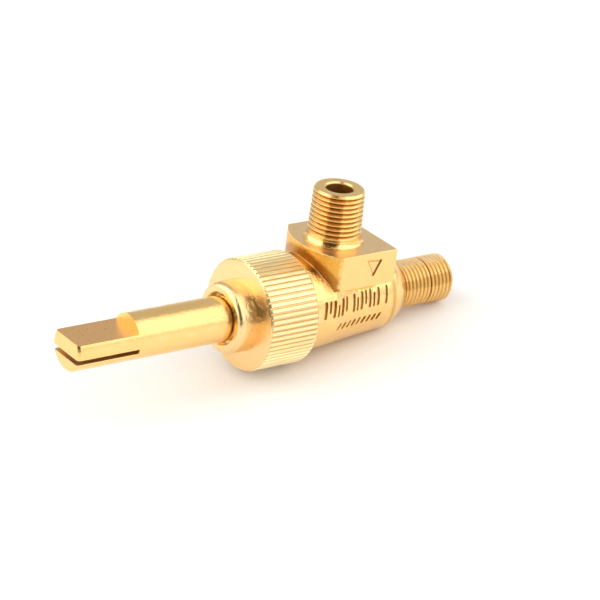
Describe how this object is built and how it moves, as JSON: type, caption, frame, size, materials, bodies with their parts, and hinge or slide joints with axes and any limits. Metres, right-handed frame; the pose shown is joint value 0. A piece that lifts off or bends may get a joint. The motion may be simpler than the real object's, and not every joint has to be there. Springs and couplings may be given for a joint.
{
  "type": "needle valve",
  "caption": "Brass angle needle valve with a tapered inlet spigot, threaded outlet spigot, knurled bonnet nut and slotted D-shaped control stem that lifts a needle off its seat.",
  "frame": {"origin": "centre of the mouth of the tapered inlet spigot", "axes": "+Z out of the inlet spigot; the main axis runs along Y, 23.4 mm below the origin, with the outlet spigot towards +Y and the control stem towards -Y; +X is the side with the struck arrow"},
  "size_m": [0.022, 0.0884, 0.0344],
  "materials": {
    "body_brass": "machined forged brass",
    "nut_brass": "turned and knurled brass",
    "stem_brass": "drawn brass bar, satin",
    "seal_rubber": "moulded nitrile rubber",
    "washer_plastic": "smooth",
    "spring_steel": "stamped stainless strip",
    "gasket_fibre": "pressed fibre sheet",
    "needle_brass": "turned brass",
    "needle_steel": "ground stainless"
  },
  "bodies": {
    "body": {"valve_body": "body_brass", "bonnet_nut": "nut_brass", "bonnet_gasket": "gasket_fibre", "thrust_washer": "washer_plastic", "spring_washer": "spring_steel"},
    "stem": {"stem": "stem_brass", "stem_o_ring_outer": "seal_rubber", "stem_o_ring_inner": "seal_rubber"},
    "needle": {"needle_carrier": "needle_brass", "needle": "needle_steel"}
  },
  "joints": [
    {"name": "stem_turn", "type": "hinge", "parent": "body", "child": "stem", "pos_m": [0, -0.0215, -0.0234], "axis": [0, -1, 0], "range_deg": [0, 540]},
    {"name": "needle_lift", "type": "slide", "parent": "stem", "child": "needle", "axis": [0, -1, 0], "range_m": [0, 0.0015]}
  ],
  "couplings": [
    {"joint": "needle_lift", "follows": "stem_turn", "m_per_rad": 0.00015915}
  ]
}
